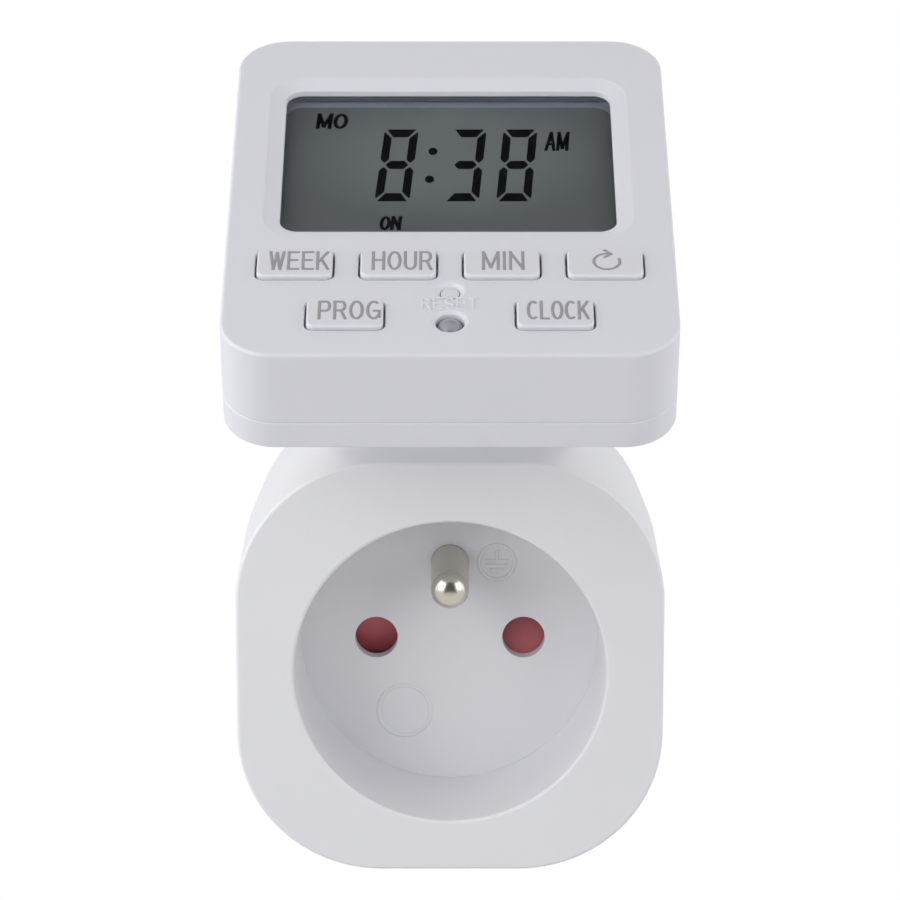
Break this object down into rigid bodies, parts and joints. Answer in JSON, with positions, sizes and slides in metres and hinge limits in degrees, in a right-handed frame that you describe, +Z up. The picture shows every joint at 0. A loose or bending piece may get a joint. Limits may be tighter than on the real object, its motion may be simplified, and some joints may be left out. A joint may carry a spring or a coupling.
{
  "type": "plug-in time switch",
  "caption": "Plug-in electronic time switch: socket block with shuttered outlet and plug on its back, and a tilting clock head with display and keys.",
  "frame": {"origin": "centre of the plug face, midway between the two plug pins where they leave it", "axes": "+Y along the plug pins into the wall outlet, +Z up to the clock head, +X to the right seen by the user, who stands at -Y"},
  "size_m": [0.0536, 0.1024, 0.1012],
  "materials": {
    "housing": "white moulded ABS, fine satin",
    "head_face": "white moulded ABS, satin",
    "key_plastic": "white moulded ABS, satin, grey legends",
    "red_plastic": "red moulded nylon",
    "carrier_plastic": "off-white moulded nylon",
    "nickel": "bright nickel-plated brass",
    "contact_brass": "stamped spring brass",
    "steel": "zinc-plated steel",
    "board": "green solder mask on glass-epoxy laminate",
    "component_case": "moulded component case",
    "can": "drawn metal can",
    "lead_sheath": "grey PVC sheath",
    "clear_window": "clear moulded acrylic window",
    "lcd_glass": "grey-green liquid crystal display",
    "dark_plastic": "dark grey plastic",
    "silicone": "grey silicone rubber",
    "lamp": "grey translucent epoxy lamp"
  },
  "bodies": {
    "socket_block": {"back_shell": "housing", "block_lead": "lead_sheath", "body_screws": "steel", "carrier_screws": "steel", "contact_carrier": "carrier_plastic", "dropper_capacitor": "component_case", "earth_clips": "nickel", "earth_strap": "contact_brass", "front_shell": "housing", "live_contact": "contact_brass", "live_feed_link": "contact_brass", "live_plug_pin": "nickel", "neutral_contact": "contact_brass", "neutral_plug_pin": "nickel", "power_board": "board", "rear_earth_sleeve": "nickel", "relay": "component_case", "smoothing_capacitor": "can", "socket_earth_pin": "nickel", "socket_insert": "housing", "varistor": "component_case"},
    "clock_head": {"head_top_shell": "head_face", "head_bottom_shell": "housing", "head_screws": "steel", "display_lens": "clear_window", "lcd_panel": "lcd_glass", "lcd_holder": "dark_plastic", "zebra_strips": "silicone", "display_board": "board", "dome_mat": "silicone", "indicator_lamp": "lamp", "backup_cell": "can", "clock_chip": "dark_plastic", "crystal": "can", "head_lead": "lead_sheath"},
    "shutter": {"shutter": "red_plastic", "shutter_spring": "steel"},
    "reset_button": {"reset_button": "key_plastic"},
    "week_key": {"week_key": "key_plastic"},
    "hour_key": {"hour_key": "key_plastic"},
    "minute_key": {"minute_key": "key_plastic"},
    "random_key": {"random_key": "key_plastic"},
    "program_key": {"program_key": "key_plastic"},
    "clock_key": {"clock_key": "key_plastic"}
  },
  "joints": [
    {"name": "head_tilt", "type": "hinge", "parent": "socket_block", "child": "clock_head", "pos_m": [0, -0.0355, 0.0476], "axis": [1, 0, 0], "range_deg": [-25, 15]},
    {"name": "shutter_turn", "type": "hinge", "parent": "socket_block", "child": "shutter", "pos_m": [0, -0.055, 0], "axis": [0, 1, 0], "range_deg": [0, 40], "stiffness_Nm_per_rad": 0.01, "springref_deg": -20.05},
    {"name": "week_press", "type": "slide", "parent": "clock_head", "child": "week_key", "axis": [0, -0.4226, 0.9063], "range_m": [-0.0006, 0], "stiffness_N_per_m": 1500, "springref_m": 0.0003},
    {"name": "hour_press", "type": "slide", "parent": "clock_head", "child": "hour_key", "axis": [0, -0.4226, 0.9063], "range_m": [-0.0006, 0], "stiffness_N_per_m": 1500, "springref_m": 0.0003},
    {"name": "minute_press", "type": "slide", "parent": "clock_head", "child": "minute_key", "axis": [0, -0.4226, 0.9063], "range_m": [-0.0006, 0], "stiffness_N_per_m": 1500, "springref_m": 0.0003},
    {"name": "random_press", "type": "slide", "parent": "clock_head", "child": "random_key", "axis": [0, -0.4226, 0.9063], "range_m": [-0.0006, 0], "stiffness_N_per_m": 1500, "springref_m": 0.0003},
    {"name": "program_press", "type": "slide", "parent": "clock_head", "child": "program_key", "axis": [0, -0.4226, 0.9063], "range_m": [-0.0006, 0], "stiffness_N_per_m": 1500, "springref_m": 0.0003},
    {"name": "clock_press", "type": "slide", "parent": "clock_head", "child": "clock_key", "axis": [0, -0.4226, 0.9063], "range_m": [-0.0006, 0], "stiffness_N_per_m": 1500, "springref_m": 0.0003},
    {"name": "reset_press", "type": "slide", "parent": "clock_head", "child": "reset_button", "axis": [0, -0.4226, 0.9063], "range_m": [-0.0006, 0], "stiffness_N_per_m": 1500, "springref_m": 0.0003}
  ]
}
